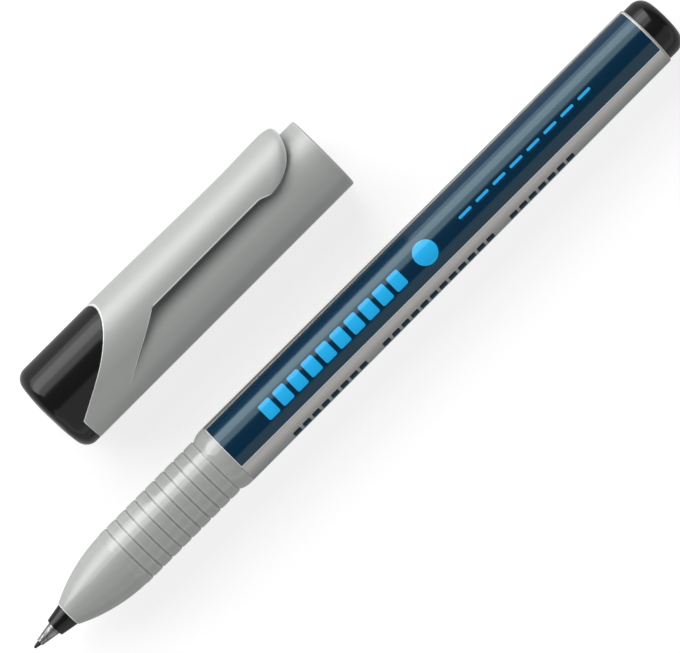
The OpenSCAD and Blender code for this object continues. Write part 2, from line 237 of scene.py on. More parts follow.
def skin_faces(rows, columns, present):
    """Faces of a closed skin between an outer and an inner grid, where a cell is present."""
    inner = rows * columns
    faces = []
    cells = {(r, c) for r in range(rows - 1) for c in range(columns - 1) if present(r, c)}
    for r, c in sorted(cells):
        a, b = r * columns + c, r * columns + c + 1
        d, e = a + columns, b + columns
        faces.append((a, b, e, d))
        faces.append((inner + d, inner + e, inner + b, inner + a))
        borders = {(r - 1, c): (a, b), (r, c + 1): (b, e), (r + 1, c): (e, d), (r, c - 1): (d, a)}
        for beside, (first, second) in borders.items():
            if beside not in cells:
                faces.append((second, first, inner + first, inner + second))
    return faces


def welded(points, faces):
    """The same surface with coinciding points made one and collapsed faces left out."""
    keys = np.round(points / WELD).astype(np.int64)
    _, first, index = np.unique(keys, axis=0, return_index=True, return_inverse=True)
    index = index.reshape(-1)
    kept = []
    for face in faces:
        corners = [int(c) for c in index[list(face)]]
        ring = [c for k, c in enumerate(corners) if c != corners[k - 1]]
        if len(set(ring)) > 2:
            kept.append(ring)
    return points[first], kept, index


def piece(name, points, faces, finish, highlight_share=None):
    """A closed mesh with even shading; the last argument gives each point's share of painted highlight,
    from 0 to 1.
    """
    points, faces, index = welded(points.reshape(-1, 3), faces)
    mesh = bpy.data.meshes.new(name)
    mesh.from_pydata(points.tolist(), [], faces)
    if highlight_share is not None:
        shares = np.zeros(len(points))
        shares[index] = highlight_share.reshape(-1)
        mesh.attributes.new(RIM_HIGHLIGHT, "FLOAT", "POINT").data.foreach_set("value", shares)
    shape = bmesh.new()
    shape.from_mesh(mesh)
    bmesh.ops.recalc_face_normals(shape, faces=shape.faces)
    shape.to_mesh(mesh)
    shape.free()
    mesh.shade_smooth()
    mesh.set_sharp_from_angle(angle=SHARP)
    mesh.materials.append(finish)
    made = bpy.data.objects.new(name, mesh)
    bpy.context.collection.objects.link(made)
    shading = made.modifiers.new("even_shading", "WEIGHTED_NORMAL")
    shading.keep_sharp = True
    return made


def lathe(name, line, outline, finish, closed=True):
    """A piece turned round a line; closed joins the outline's end to its start."""
    place, radius = spread(outline)
    faces = ring_faces(len(place), TURN_STEPS, closed)
    return piece(name, turned(line, place, radius), faces, finish)


# Shader nodes

# Numbers of a Mix node's sockets when it mixes colours
MIX_FACTOR, MIX_FIRST, MIX_SECOND, MIX_COLOUR = 0, 6, 7, 2


class Socket:
    """An output of a shader node. Arithmetic on it adds Math nodes to its finish."""

    def __init__(self, finish, output):
        self.finish = finish
        self.output = output

    def __add__(self, other):
        return self.finish.maths("ADD", self, other)

    def __radd__(self, other):
        return self.finish.maths("ADD", other, self)

    def __sub__(self, other):
        return self.finish.maths("SUBTRACT", self, other)

    def __rsub__(self, other):
        return self.finish.maths("SUBTRACT", other, self)

    def __mul__(self, other):
        return self.finish.maths("MULTIPLY", self, other)

    def __rmul__(self, other):
        return self.finish.maths("MULTIPLY", other, self)

    def __truediv__(self, other):
        return self.finish.maths("DIVIDE", self, other)

    def __rtruediv__(self, other):
        return self.finish.maths("DIVIDE", other, self)

    def __abs__(self):
        return self.finish.maths("ABSOLUTE", self)

    def at_least(self, other):
        return self.finish.maths("MAXIMUM", self, other)

    def fraction(self):
        return self.finish.maths("FRACT", self)

    def root(self):
        return self.finish.maths("SQRT", self)

    def degrees_from(self, upright):
        """Angle in degrees of this sideways offset from an upright one."""
        return self.finish.maths("ARCTAN2", self, upright) * math.degrees(1)

    def above(self, limit, soft):
        """0 below the limit and 1 above it, with an edge that is soft to either side."""
        ends = {"Value": self, "From Min": limit - soft, "From Max": limit + soft}
        return self.finish.node("ShaderNodeMapRange", ends, interpolation_type="SMOOTHSTEP")

    def below(self, limit, soft):
        return 1 - self.above(limit, soft)

    def between(self, low, high, soft):
        return self.above(low, soft) * self.below(high, soft)


class Finish:
    """A procedural material, with its sizes measured in millimetres in the row frame."""

    def __init__(self, name):
        self.material = bpy.data.materials.new(name)
        self.material.use_nodes = True
        self.tree = self.material.node_tree
        self.tree.nodes.clear()
        self.where = self.node("ShaderNodeTexCoord", out="Object")

    def node(self, kind, sockets=(), out=0, **settings):
        """Adds a node: first its settings, then the values or links of its sockets."""
        made = self.tree.nodes.new(kind)
        for key, value in settings.items():
            setattr(made, key, value)
        for key, value in sockets.items() if isinstance(sockets, dict) else enumerate(sockets):
            if isinstance(value, Socket):
                self.tree.links.new(value.output, made.inputs[key])
            else:
                made.inputs[key].default_value = value
        return Socket(self, made.outputs[out]) if len(made.outputs) else None

    def maths(self, operation, *values):
        return self.node("ShaderNodeMath", values, operation=operation)

    def vector_maths(self, operation, first, second, out="Vector"):
        return self.node("ShaderNodeVectorMath", [first, second], out, operation=operation)

    def axes(self, line):
        """Place along a line and offsets up and to its side, in millimetres."""
        offset = self.vector_maths("SUBTRACT", self.where, tuple(line.start))
        return [self.vector_maths("DOT_PRODUCT", offset, tuple(direction / MM), out="Value")
                for direction in (ALONG, line.up, line.side)]

    def grain(self, size, detail, stretch=(1, 1, 1), roughness=0.5):
        """Noise whose lumps are about size millimetres across, stretched along the three axes."""
        scale = tuple(1 / (MM * size * s) for s in stretch)
        spot = self.vector_maths("MULTIPLY", self.where, scale)
        values = {"Vector": spot, "Scale": 1.0, "Detail": detail, "Roughness": roughness}
        return self.node("ShaderNodeTexNoise", values)

    def mix(self, mask, first, second):
        """The first colour where the mask is 0 and the second where it is 1."""
        first, second = (c if isinstance(c, Socket) else (*c, 1) for c in (first, second))
        values = {MIX_FACTOR: mask, MIX_FIRST: first, MIX_SECOND: second}
        return self.node("ShaderNodeMix", values, out=MIX_COLOUR, data_type="RGBA")

    def bump(self, height, depth):
        """Normal of a height from 0 to 1 that stands for depth millimetres."""
        return self.node("ShaderNodeBump", {"Height": height, "Distance": depth * MM}, out="Normal")

    def surface(self, **sockets):
        """Ends the finish in a Principled shader; underscores in the names stand for spaces."""
        values = {key.replace("_", " "): value for key, value in sockets.items()}
        return self.ends_in(self.node("ShaderNodeBsdfPrincipled", values))

    def ends_in(self, shader):
        """Sends a shader to the material's output and hands over the material."""
        self.node("ShaderNodeOutputMaterial", {"Surface": shader})
        return self.material


def shade(colour, gain):
    """A colour made darker or lighter."""
    return tuple(gain * c for c in colour)


# Finishes of the plastics

BARREL_GREY = (0.395, 0.409, 0.395)
CAP_GREY = (0.405, 0.419, 0.407)
INSERT_BLACK = (0.008, 0.008, 0.0085)
SEAL_NATURAL = (0.66, 0.66, 0.62)
# Pale grey of the painted highlights on rims, lips and edge lines
PAINTED_HIGHLIGHT_GREY = (0.86, 0.87, 0.86)
# Dark grey of the painted shade in the grip's grooves
GROOVE_SHADE_GREY = (0.10, 0.105, 0.10)
# Near black of the painted shade on the cap's tube
PAINTED_SHADE_GREY = (0.02, 0.022, 0.028)

FLOW_SIZE, FLOW_STRETCH = 7, (3, 1, 1)
FLOW_DARK, FLOW_LIGHT = 0.965, 1.03
FINE_ROUGH, FLOW_ROUGH = 0.06, 0.05
SATIN_ROUGH, SATIN_COAT, SATIN_SOFT = 0.1, 0.35, 0.15

# Shares of painted shade and painted highlight, and where they lie; a pair is a limit and the softness
# of its edge
LINE_SOFT = 0.05
GRIP_BEFORE, GRIP_AFTER = 0.5, 0.3
# Painted shade in the grip's grooves and painted highlight on the lips beside them
GROOVE_SHADE, GROOVE_SHADE_REACH = 0.28, (0.065, 0.04)
LIP_HIGHLIGHT, LIP_START, LIP_END, LIP_SOFT = 0.11, 0.19, 0.38, 0.07
# Painted highlight round the nose's front edge
NOSE_LINE, NOSE_LINE_SOFT = 0.13, 0.03
# Painted shade on the cap's tube: under the clip, behind the band and in the crease at its edge
CLIP_SHADE, CLIP_SHADE_DEGREES, CLIP_SHADE_END_C = 0.64, (61, 13), (46, 3)
BAND_SHADE, BEHIND_REACH, BEHIND_H = 0.85, (1.5, 1.9), (0.6, 2.4)
CREASE_SHADE, CREASE_REACH, CREASE_H = 0.85, (0.35, 0.15), (0.3, 1.7)
# Painted highlights along the cap's mouth and the tube's front edge
MOUTH_HIGHLIGHT, MOUTH_LINE_START, MOUTH_LINE_END = 0.2, 0.34, 0.16
FRONT_HIGHLIGHT, FRONT_LINE = 0.45, 0.16


def moulded(name, colour, roughness, texture, depth, coat=0.0, coat_roughness=0.1, ior=1.47,
            painted_light=None, satin=None):
    """Moulded plastic: faint flow clouds in its colour and a mould texture of a size and depth.

    The function given for painted light changes the colour with painted shade and painted highlights,
    and satin gives the share to which it is dull.
    """
    finish = Finish(name)
    clouds = finish.grain(FLOW_SIZE, detail=3, stretch=FLOW_STRETCH)
    fine = finish.grain(texture, detail=2)
    tint = finish.mix(clouds, shade(colour, FLOW_DARK), shade(colour, FLOW_LIGHT))
    if painted_light:
        tint = painted_light(finish, tint)
    rough = roughness + FINE_ROUGH * (fine - 0.5) + FLOW_ROUGH * (clouds - 0.5)
    if satin:
        dulled = satin(finish)
        rough = rough + SATIN_ROUGH * dulled
        coat = coat - SATIN_COAT * dulled
    return finish.surface(Base_Color=tint, Roughness=rough, Normal=finish.bump(fine, depth),
                          IOR=ior, Coat_Weight=coat, Coat_Roughness=coat_roughness)


def rim_highlights(finish, tint):
    """Painted highlights: pale lines where the mesh attribute marks the rims."""
    highlight_share = finish.node("ShaderNodeAttribute", out="Fac", attribute_name=RIM_HIGHLIGHT)
    return finish.mix(highlight_share, tint, PAINTED_HIGHLIGHT_GREY)


def groove_shade_and_highlights(finish, tint):
    """Painted shade in the grip's grooves, painted highlights on the lips beside them and round the
    nose's front.
    """
    place = finish.axes(PEN)[0]
    off_groove = abs(((place - groove_p) / RING_PITCH + 0.5).fraction() - 0.5) * RING_PITCH
    on_grip = place.between(groove_p - GRIP_BEFORE, collar_p + GRIP_AFTER, LINE_SOFT)
    in_groove = off_groove.below(*GROOVE_SHADE_REACH) * on_grip
    on_lip = off_groove.between(LIP_START, LIP_END, LIP_SOFT) * on_grip
    tint = finish.mix(GROOVE_SHADE * in_groove, tint, GROOVE_SHADE_GREY)
    tint = finish.mix(LIP_HIGHLIGHT * on_lip, tint, PAINTED_HIGHLIGHT_GREY)
    return finish.mix(place.below(nose_p + NOSE_LINE, NOSE_LINE_SOFT), tint, PAINTED_HIGHLIGHT_GREY)


def satin_nose(finish):
    """The nose is duller than the rest of the barrel."""
    return finish.axes(PEN)[0].below(grip_p, SATIN_SOFT)


def tube_shade_and_highlights(finish, tint):
    """Painted shade under the clip, behind the band and in the crease at its edge; painted highlights
    at both ends.
    """
    place, up, side = finish.axes(CAP)
    under_clip = abs(side.degrees_from(up)).below(*CLIP_SHADE_DEGREES) * place.below(*CLIP_SHADE_END_C)
    behind = place - BAND_START_C - up / math.tan(BAND_SLOPE)
    band_shade = behind.below(*BEHIND_REACH) * up.above(*BEHIND_H)
    shaded = under_clip.at_least(BAND_SHADE * band_shade)
    crease_shade = behind.below(*CREASE_REACH) * up.above(*CREASE_H)
    tint = finish.mix((CLIP_SHADE * shaded).at_least(CREASE_SHADE * crease_shade), tint, PAINTED_SHADE_GREY)
    # Painted highlights near the mouth and along the front edge
    mouth_line = place.between(cap_len - MOUTH_LINE_START, cap_len - MOUTH_LINE_END, LINE_SOFT)
    front_line = place.below(seam_c + FRONT_LINE, LINE_SOFT)
    highlight_share = (MOUTH_HIGHLIGHT * mouth_line).at_least(FRONT_HIGHLIGHT * front_line)
    return finish.mix(highlight_share, tint, PAINTED_HIGHLIGHT_GREY)


CAP_SATIN = {"roughness": 0.42, "texture": 0.10, "depth": 0.003, "coat": 0.8, "coat_roughness": 0.3}
band_satin = moulded("band_satin", CAP_GREY, **CAP_SATIN, painted_light=rim_highlights)
tube_satin = moulded("tube_satin", CAP_GREY, **CAP_SATIN, painted_light=tube_shade_and_highlights)
barrel_gloss = moulded("barrel_gloss", BARREL_GREY, roughness=0.25, texture=1.1, depth=0.0015,
                       coat=1.0, painted_light=groove_shade_and_highlights, satin=satin_nose)
black_gloss = moulded("black_gloss", INSERT_BLACK, roughness=0.17, texture=0.9, depth=0.001, ior=1.38)
natural_seal = moulded("natural_seal", SEAL_NATURAL, roughness=0.38, texture=0.2, depth=0.003)


# Finishes of the metal sleeve, the fibres and the film

def turned_metal():
    """Drawn and turned metal with fine lines round it and dark streaks along it."""
    dark, light, stained = (0.27, 0.27, 0.266), (0.43, 0.43, 0.425), (0.09, 0.09, 0.09)
    line_size, line_depth, line_rough, roughness = 0.05, 0.006, 0.16, 0.3
    streak_size, streak_edge, streak_rough, stain = 0.22, (0.5, 0.12), 0.08, 0.75
    finish = Finish("turned_metal")
    lines = finish.grain(line_size, detail=3, stretch=(1, 40, 40))
    streaks = finish.grain(streak_size, detail=3, stretch=(4, 1, 1)).above(*streak_edge)
    tint = finish.mix(stain * streaks, finish.mix(lines, dark, light), stained)
    rough = roughness + line_rough * lines + streak_rough * streaks
    return finish.surface(Base_Color=tint, Metallic=1.0, Roughness=rough,
                          Normal=finish.bump(lines, line_depth))


def bonded_fibre(name, dark, light, size):
    """Fibres of a size that run along the pen, bonded and soaked."""
    strand_depth, strand_rough, roughness = 0.02, 0.3, 0.55
    finish = Finish(name)
    strands = finish.grain(size, detail=4, stretch=(14, 1, 1), roughness=0.65)
    tint = finish.mix(strands, dark, light)
    return finish.surface(Base_Color=tint, Roughness=roughness + strand_rough * strands,
                          Normal=finish.bump(strands, strand_depth))


def wrapping_film():
    """Thin clear film with faint lengthwise creases."""
    dull, bright = (0.62, 0.63, 0.62), (0.80, 0.80, 0.78)
    crease_size, crease_depth, crease_rough, roughness = 0.9, 0.02, 0.2, 0.2
    finish = Finish("wrapping_film")
    creases = finish.grain(crease_size, detail=3, stretch=(12, 1, 1))
    tint = finish.mix(creases, dull, bright)
    return finish.surface(Base_Color=tint, Roughness=roughness + crease_rough * creases,
                          Normal=finish.bump(creases, crease_depth))


metal = turned_metal()
nib_fibre = bonded_fibre("nib_fibre", dark=(0.006, 0.006, 0.008), light=(0.035, 0.035, 0.04), size=0.05)
core_fibre = bonded_fibre("core_fibre", dark=(0.01, 0.01, 0.014), light=(0.07, 0.07, 0.09), size=0.12)
film = wrapping_film()


# Finish of the label

PANEL_BLUE = (0.0005, 0.023, 0.056)
PANEL_GLOSS_TINT = (0.7, 0.95, 1.0, 1)
SILVER, FLAKE_DARK, FLAKE_LIGHT = (0.46, 0.447, 0.434), 0.88, 1.1
PRINT_WHITE = (0.80, 0.81, 0.80)
PRINT_CYAN = (0.02, 0.46, 0.90)
PRINT_INK = (0.006, 0.014, 0.03)
SILVER_METAL, SILVER_ROUGH, PANEL_ROUGH, CLOUD_ROUGH = 0.95, 0.42, 0.15, 0.04
FLAKE_SIZE, CLOUD_SIZE, CLOUD_DEPTH = 0.06, 3.0, 0.002

# Edges of the panel in degrees from the pen's crown, at the label's front and at its rear
PANEL_LEFT, PANEL_RIGHT = (65.0, 73.0), (-30.0, -34.5)
PALE_EDGE, PRINT_SOFT, ROW_SOFT = 0.12, 0.03, 0.02

# Middles of the marks on the panel and on the strip, round the label from the pen's crown
PANEL_MARKS, STRIP_MARKS = 0.45, -6.1
BOLD_ROW = {"start": 46.5, "count": 10, "pitch": 2.85}
BOLD_BAR = {"half_length": 1.05, "half_height": 1.35, "corner": 0.3}
FINE_ROW = {"start": 85.5, "count": 8, "pitch": 3.4}
FINE_BAR = {"half_length": 1.2, "half_height": 0.22, "corner": 0.2}
STRIP_ROWS, STRIP_PITCH = ((47.5, 8), (65.5, 12), (91.1, 7)), 1.9
STRIP_BAR = {"half_length": 0.7, "half_height": 0.85, "corner": 0.2}
DISC_P, DISC_R = 79.2, 1.9


def rounded_bar(along, across, half_length, half_height, corner):
    """Mask of a bar with rounded corners, from offsets to its middle."""
    past_end = (abs(along) - (half_length - corner)).at_least(0)
    past_side = (abs(across) - (half_height - corner)).at_least(0)
    distance = (past_end * past_end + past_side * past_side).root()
    return distance.below(corner, PRINT_SOFT)


def bar_row(place, across, start, count, pitch, **bar):
    """Mask of a row of equal bars along the label."""
    along = ((place - start) / pitch).fraction() * pitch - pitch / 2
    return rounded_bar(along, across, **bar) * place.between(start, start + pitch * count, ROW_SOFT)


def panel_marks(place, across):
    """Bold blocks, a disc and a row of fine dashes along the panel."""
    bold = bar_row(place, across, **BOLD_ROW, **BOLD_BAR)
    disc = rounded_bar(place - DISC_P, across, DISC_R, DISC_R, DISC_R)
    return bold + disc + bar_row(place, across, **FINE_ROW, **FINE_BAR)


def strip_marks(place, across):
    """Rows of small dark bars along the silver strip."""
    rows = [bar_row(place, across, *row, STRIP_PITCH, **STRIP_BAR) for row in STRIP_ROWS]
    return sum(rows[1:], rows[0])


def label_print():
    """Printed film: a dark blue panel with pale edges on a warm silver strip, and plain marks."""
    radius = (BARREL_R + REAR_R) / 2
    edge, soft = math.degrees(PALE_EDGE / radius), math.degrees(PRINT_SOFT / radius)
    finish = Finish("label_print")
    place, up, side = finish.axes(PEN)
    degrees = side.degrees_from(up)
    far = (place - label_p) / (label_end_p - label_p)
    left, right = (degrees - (front + (rear - front) * far)
                   for front, rear in (PANEL_LEFT, PANEL_RIGHT))
    panel = right.above(-edge, soft) * left.below(edge, soft)
    blue = right.above(0, soft) * left.below(0, soft)
    blue = blue * place.between(label_p + PALE_EDGE, label_end_p - PALE_EDGE, PRINT_SOFT)
    flake = finish.grain(FLAKE_SIZE, detail=1)
    cloud = finish.grain(CLOUD_SIZE, detail=2, stretch=(4, 1, 1))
    silver = finish.mix(flake, shade(SILVER, FLAKE_DARK), shade(SILVER, FLAKE_LIGHT))
    tint = finish.mix(panel, silver, PRINT_WHITE)
    tint = finish.mix(blue, tint, PANEL_BLUE)
    across = degrees * math.radians(radius)
    tint = finish.mix(panel_marks(place, across - PANEL_MARKS), tint, PRINT_CYAN)
    tint = finish.mix(strip_marks(place, across - STRIP_MARKS), tint, PRINT_INK)
    rough = SILVER_ROUGH + (PANEL_ROUGH - SILVER_ROUGH) * panel + CLOUD_ROUGH * (cloud - 0.5)
    return finish.surface(Base_Color=tint, Metallic=SILVER_METAL * (1 - panel), Roughness=rough,
                          Normal=finish.bump(cloud, CLOUD_DEPTH), IOR=1.55,
                          Specular_Tint=PANEL_GLOSS_TINT)


label_film = label_print()


# Pieces of the pen

def barrel_r(place):
    """Radius of the drafted tube behind the collar."""
    return BARREL_R + (REAR_R - BARREL_R) * (place - land_p) / (rear_p - land_p)


def grip_ring(start, end):
    """One grip ring: a slight crown whose edges roll into the grooves beside it."""
    steps, blend_end = 19, -0.4
    t = np.sin(np.linspace(-np.pi / 2, np.pi / 2, steps))
    place = (start + end) / 2 + t * (end - start) / 2
    radius = GRIP_R - RING_CROWN * t ** 2 - (GROOVE_DEPTH - RING_CROWN) * np.abs(t) ** RING_EDGE
    if start == grip_p:
        crown = GRIP_R - RING_CROWN * t ** 2
        radius = np.where(t < 0, NOSE_REAR_R + (crown - NOSE_REAR_R) * smooth(t, -1, blend_end), radius)
    return plain(zip(place, radius))


def barrel():
    """Nose, grip, collar and tube outside; bore, ribs and reservoir chamber inside."""
    edge_round, before_grip, nose_steps, collar_steps = 0.1, 0.02, 28, 12
    nose_front, nose_rear = (nose_p, NOSE_FRONT_R), (grip_p, NOSE_REAR_R)
    outline = [(nose_p, STEM_BORE_R, 0), (*nose_front, edge_round)]
    outline += plain(arc_through(nose_front, nose_rear, NOSE_ARC_R, nose_steps))
    outline += [(grip_p - before_grip, NOSE_REAR_R, 0)]
    starts = [grip_p] + [groove_p + k * RING_PITCH + GROOVE_W / 2 for k in range(GROOVES - 1)]
    for k, start in enumerate(starts):
        outline += grip_ring(start, groove_p + k * RING_PITCH - GROOVE_W / 2)
    bottom = GRIP_R - GROOVE_DEPTH
    drop = BARREL_R - bottom
    collar_arc = (COLLAR_LEN ** 2 + drop ** 2) / (2 * drop)
    outline += [(collar_p, bottom, 0)]
    outline += plain(arc_through((collar_p, bottom), (land_p, BARREL_R), collar_arc, collar_steps))
    outline += [(land_p, BARREL_R, 0)]
    for place, inwards in ((label_p - FILM_GAP, 1), (label_end_p + FILM_GAP, -1)):
        rim_r = barrel_r(place)
        rim = [(place, rim_r, FILM_ROUND), (place, rim_r - LABEL_T - FILM_GAP, 0)]
        outline += rim[::inwards]
    outline += [(rear_p, REAR_R, REAR_ROUND), (rear_p, BORE_R, edge_round)]
    ribs_at = len(rounded(outline))
    outline += [(core_end_p, BORE_R, 0), (core_end_p, BORE_R, 0), (bore_p, BORE_R, 0)]
    outline += [(bore_p, CHAMBER_R, 0), (chamber_p, CHAMBER_R, 0), (chamber_p, STEM_BORE_R, 0)]
    place, radius = spread(rounded(outline))
    pitch = 2 * np.pi / RIBS
    off_rib = (ANGLES + pitch / 2) % pitch - pitch / 2
    on_rib = np.abs(off_rib) * RIB_R < RIB_W / 2
    # The second point at the core's end and the one after it stand on the ribs
    radius[ribs_at + 1:ribs_at + 3, on_rib] = RIB_R
    faces = ring_faces(len(place), TURN_STEPS, True)
    return piece("barrel_shell", turned(PEN, place, radius), faces, barrel_gloss)


def label():
    """The film that is wound round the tube, in its recess."""
    front_r, rear_r = barrel_r(label_p), barrel_r(label_end_p)
    outline = [(label_p, front_r, FILM_ROUND), (label_end_p, rear_r, FILM_ROUND),
               (label_end_p, rear_r - LABEL_T, 0), (label_p, front_r - LABEL_T, 0)]
    return lathe("label_film", PEN, rounded(outline), label_film)


def nib_holder():
    """The cone in front of the nose, with its stem and the bore for sleeve and wick."""
    front_r, rear_r, stem_r, bore_gap, bore_spare = 1.45, 1.95, 1.4, 0.03, 0.3
    bore_r, bore_end_p = SHANK_R + bore_gap, shank_end_p + bore_spare
    outline = [(holder_p, bore_r, 0.03), (holder_p, front_r, 0.1),
               (nose_p, rear_r, 0.08), (nose_p, stem_r, 0),
               (stem_end_p, stem_r, 0.2), (stem_end_p, WICK_BORE_R, 0),
               (bore_end_p, WICK_BORE_R, 0), (bore_end_p, bore_r, 0)]
    return lathe("nib_holder_cone", PEN, rounded(outline), black_gloss)


def nib_sleeve():
    """The metal tube round the point, with its flare, rim and shank."""
    rod_bore_r, tube_r, tube_rear_r, rim_r = 0.45, 0.57, 0.64, 1.05
    tube_len, flare_len, bore_step = 0.55, 2.15, 0.05
    bead_len, bead_drop, groove_drop, groove_len = 0.12, 0.06, 0.1, 0.06
    flare_p = sleeve_p + tube_len
    rim_p = flare_p + flare_len
    step_p = holder_p - bore_step
    outline = [(sleeve_p, rod_bore_r, 0.03), (sleeve_p, tube_r, 0.05), (flare_p, tube_rear_r, 0.8),
               (rim_p - bead_len, rim_r - bead_drop, 0.05), (rim_p, rim_r - groove_drop, 0.03),
               (rim_p + groove_len, rim_r, 0.05), (holder_p, rim_r, 0.05),
               (holder_p, SHANK_R, 0), (shank_end_p, SHANK_R, 0.1), (shank_end_p, WICK_BORE_R, 0),
               (step_p, WICK_BORE_R, 0), (step_p, rod_bore_r, 0)]
    return lathe("nib_sleeve_tube", PEN, rounded(outline), metal)


def fibre_nib():
    """The round point, its rod and the wick behind it."""
    tip_r, tip_steps, rod_r, wick_r, wick_round = 0.225, 9, 0.4, 0.7, 0.1
    wick_end_p = PEN.span("fibre_nib")[1]
    turn = np.linspace(0, np.pi / 2, tip_steps)
    outline = plain(zip(tip_r - tip_r * np.cos(turn), tip_r * np.sin(turn)))
    outline += [(sleeve_p, rod_r, 0.2), (holder_p, rod_r, 0), (holder_p, wick_r, wick_round),
                (wick_end_p, wick_r, wick_round), (wick_end_p, 0, 0)]
    outline = rounded(outline, closed=False)
    return lathe("fibre_point", PEN, outline, nib_fibre, closed=False)


def end_plug():
    """The crowned head at the rear and its slotted spigot."""
    head_r, head_round, dome_r, under_round, head_steps = 4.75, 2.1, 24.0, 0.12, 16
    spigot_r, spigot_wall, finger_len, finger_gap = 3.97, 0.9, 6.0, 1.4
    spigot_p, pen_end_p = PEN.span("end_plug")
    bore_r = spigot_r - spigot_wall
    chain = [(rear_p, 0, 0), (rear_p, bore_r, 0), (spigot_p, bore_r, 0), (spigot_p, spigot_r, 0),
             (rear_p, spigot_r, 0), (rear_p, head_r, under_round)]
    crown = crowned_end(head_r, head_round, dome_r, head_steps)
    head = [(pen_end_p - depth, r, 0) for depth, r in crown[::-1]]
    place, radius = spread(rounded(chain + head, closed=False))
    quarter = np.pi / 2
    off_slot = (ANGLES + quarter / 2) % quarter - quarter / 2
    in_slot = np.abs(off_slot) * spigot_r < finger_gap / 2
    # The two points at the spigot's end stand back in the slots
    place[2:4, in_slot] += finger_len
    faces = ring_faces(len(place), TURN_STEPS, False)
    return piece("end_plug_head", turned(PEN, place, radius), faces, black_gloss)


# Pieces of the cap

def seam(height, side):
    """Place of the seam between shell and end insert, at a height and a sideways offset."""
    height, side = np.asarray(height, float), np.asarray(side, float)
    height = height * math.cos(SEAM_TURN) + side * math.sin(SEAM_TURN)
    ahead = np.array((math.cos(SEAM_SLOPE), math.sin(SEAM_SLOPE)))
    across = np.array((-ahead[1], ahead[0]))
    rise = np.array((seam_c, SEAM_H)) + TONGUE_STRAIGHT * ahead
    centre = rise + TONGUE_ARC_R * across
    sloping = seam_c + (height - SEAM_H) / math.tan(SEAM_SLOPE)
    curved = centre[0] + np.sqrt(np.maximum(TONGUE_ARC_R ** 2 - (centre[1] - height) ** 2, 0))
    return np.where(height < SEAM_H, seam_c, np.where(height < rise[1], sloping, curved))


def tucked_front(height, side):
    """Place of the tube's front edge: on the seam, but tucked under the band beside the tongue."""
    return seam(height, side) + TUCK * smooth(height, TUCK_LOW_H, TUCK_HIGH_H)


def cap_tube():
    """The cap's tube, whose front edge follows the seam and hides under the band beside the tongue."""
    soft, mouth_len, body_rows, edge_round = 0.1, 2, 14, 0.1
    outer_front, inner_front = (tucked_front(r * np.cos(ANGLES), r * np.sin(ANGLES))
                                for r in (CAP_R, CAP_INNER_R))
    front_edge = ((0, soft), (RIM_EASE * soft, RIM_EASE * soft), (soft, 0))
    rows = [outer_front + ahead for ahead, _ in front_edge]
    radii = [CAP_R - inwards for _, inwards in front_edge]
    for t in np.linspace(0, 1, body_rows, endpoint=False)[1:]:
        rows.append(outer_front + soft + t * (cap_len - mouth_len - outer_front - soft))
        radii.append(CAP_R)
    mouth_edge = rounded([(cap_len - mouth_len, CAP_R, 0), (cap_len, CAP_R, MOUTH_ROUND),
                          (cap_len, CAP_BORE_R + MOUTH_LEAD, edge_round),
                          (cap_len - MOUTH_LEAD, CAP_BORE_R, edge_round),
                          (cap_step_c, CAP_BORE_R, 0), (cap_step_c, CAP_INNER_R, 0)], closed=False)
    mouth_place, mouth_radius = spread(mouth_edge)
    place = np.vstack([rows, mouth_place, inner_front[None]])
    radius = np.vstack([np.repeat(np.array(radii)[:, None], TURN_STEPS, axis=1), mouth_radius,
                        np.full((1, TURN_STEPS), CAP_INNER_R)])
    faces = ring_faces(len(place), TURN_STEPS, True)
    return piece("cap_tube", turned(CAP, place, radius), faces, tube_satin)


def end_insert():
    """The black end: crowned face, round edge, the tongue that runs up to the clip, and its spigot."""
    edge_round, dome_r, wall_c, spigot_len, spigot_wall = 2.0, 27.0, 1.6, 5.5, 1.0
    press, seam_round, arc, flat, crown_steps = 0.015, 0.06, 64, 14, 12
    side_steps = (0.08, 0.2, 0.35, 0.5, 0.65, 0.8, 0.92)
    fan = np.linspace(-np.pi / 2, np.pi / 2, arc)
    drop = np.linspace(CLIP_OFFSET, 0, flat + 1)[1:-1]
    lift = np.concatenate([np.full(arc, CLIP_OFFSET), drop, np.zeros(arc), drop[::-1]])
    out_h = np.concatenate([np.cos(fan), np.zeros(flat - 1), -np.cos(fan), np.zeros(flat - 1)])
    out_w = np.concatenate([np.sin(fan), np.ones(flat - 1), np.sin(fan[::-1]), -np.ones(flat - 1)])
    rings = []
    for depth, radius in crowned_end(CAP_R, edge_round, dome_r, crown_steps):
        rings.append((np.full(len(lift), depth), lift + radius * out_h, radius * out_w))
    side_start = rings[-1][0]
    height, side = lift + CAP_R * out_h, CAP_R * out_w
    end = seam(height, side) - SEAM_GAP
    for t in side_steps:
        rings.append((side_start + t * (end - side_start), height, side))
    rings.append((end - seam_round, height, side))
    rings.append((end, height - seam_round * out_h, side - seam_round * out_w))
    around = np.arctan2(side, height)
    spigot_r, spigot_end_c = CAP_INNER_R - press, seam_c + spigot_len
    bore_r = CAP_INNER_R - 2 * press - spigot_wall
    inside = ((None, spigot_r), (spigot_end_c, spigot_r), (spigot_end_c, bore_r),
              (wall_c, bore_r), (wall_c, 0))
    for place, radius in inside:
        up, sideways = radius * np.cos(around), radius * np.sin(around)
        at = seam(up, sideways) - SEAM_GAP if place is None else np.full(len(lift), place)
        rings.append((at, up, sideways))
    place, up, sideways = (np.array(v) for v in zip(*rings))
    faces = ring_faces(len(place), len(lift), False)
    return piece("cap_end", CAP.points(place, up, sideways), faces, black_gloss)


